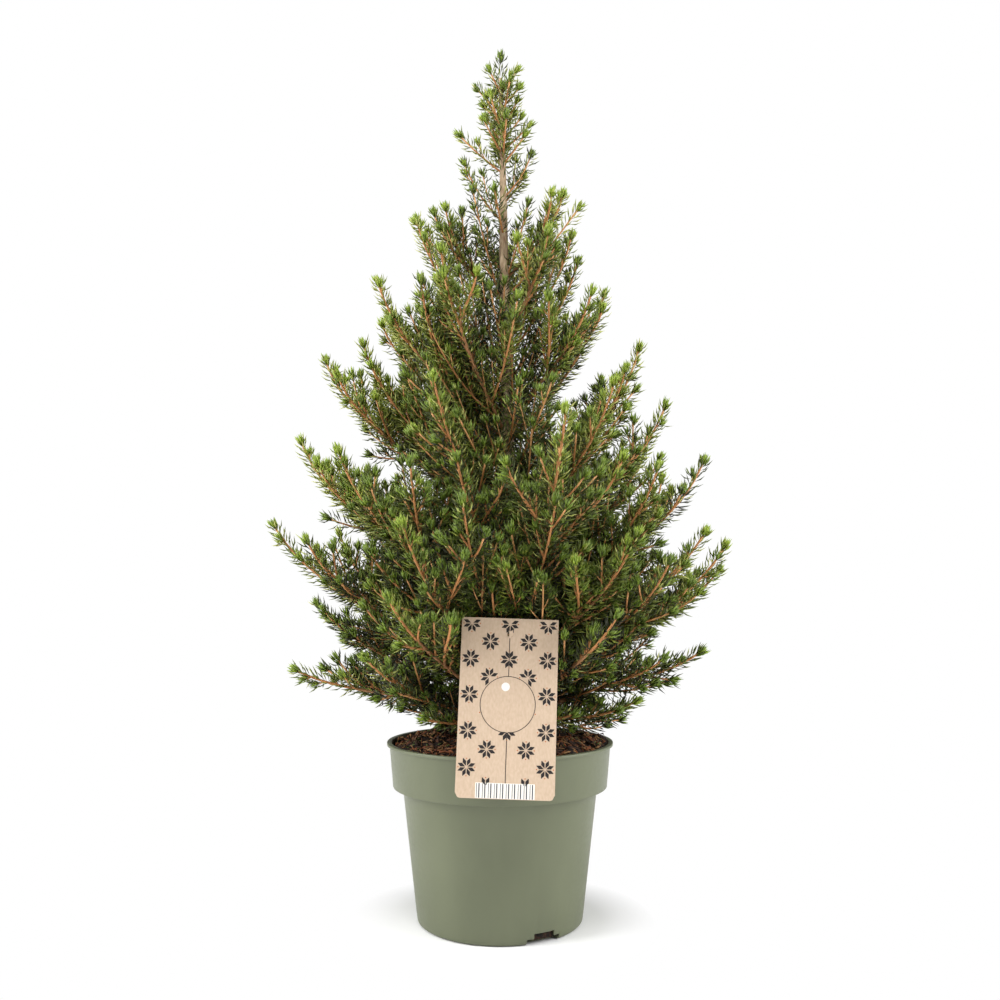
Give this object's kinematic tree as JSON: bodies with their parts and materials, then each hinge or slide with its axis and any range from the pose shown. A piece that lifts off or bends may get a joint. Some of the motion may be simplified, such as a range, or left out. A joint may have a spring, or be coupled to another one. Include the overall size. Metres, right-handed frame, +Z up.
{
  "type": "potted alberta spruce",
  "caption": "Young white spruce in a sage-green nursery pot: open conical crown of short needles on upswept boughs, dark potting soil and a patterned card tag.",
  "frame": {"origin": "middle of the pot's flat underside, on the floor it stands on", "axes": "+Z up along the pot's axis to the leader; -Y is the front, where the card tag hangs; +X is the right, seen from the front"},
  "size_m": [0.3812, 0.3114, 0.752],
  "materials": {
    "pot": "satin",
    "soil": "matte",
    "bark": "matte",
    "needles": "satin",
    "card": "matte"
  },
  "bodies": {
    "root": {"bough_back_left": "bark", "bough_back_low": "bark", "bough_back_right": "bark", "bough_back_right_low": "bark", "bough_front": "bark", "bough_front_left": "bark", "bough_front_left_lowest": "bark", "bough_front_right": "bark", "bough_front_right_low": "bark", "bough_left": "bark", "bough_left_back_low": "bark", "bough_left_front": "bark", "bough_left_front_lowest": "bark", "bough_left_low": "bark", "bough_left_mid": "bark", "bough_right": "bark", "bough_right_back": "bark", "bough_right_front": "bark", "bough_right_low": "bark", "bough_right_lowest": "bark", "bough_right_mid": "bark", "needles_back_left": "needles", "needles_back_low": "needles", "needles_back_mid": "needles", "needles_back_right": "needles", "needles_back_right_low": "needles", "needles_back_top": "needles", "needles_front": "needles", "needles_front_left": "needles", "needles_front_left_lowest": "needles", "needles_front_lowest": "needles", "needles_front_mid": "needles", "needles_front_right": "needles", "needles_front_right_low": "needles", "needles_front_right_top": "needles", "needles_front_up": "needles", "needles_leader": "needles", "needles_left": "needles", "needles_left_back_low": "needles", "needles_left_back_up": "needles", "needles_left_front": "needles", "needles_left_front_lowest": "needles", "needles_left_low": "needles", "needles_left_mid": "needles", "needles_left_top": "needles", "needles_left_up": "needles", "needles_right": "needles", "needles_right_back": "needles", "needles_right_back_up": "needles", "needles_right_front": "needles", "needles_right_front_up": "needles", "needles_right_ground": "needles", "needles_right_low": "needles", "needles_right_lowest": "needles", "needles_right_mid": "needles", "needles_right_top": "needles", "pot": "pot", "soil": "soil", "tag": "card", "trunk": "bark"}
  },
  "joints": []
}
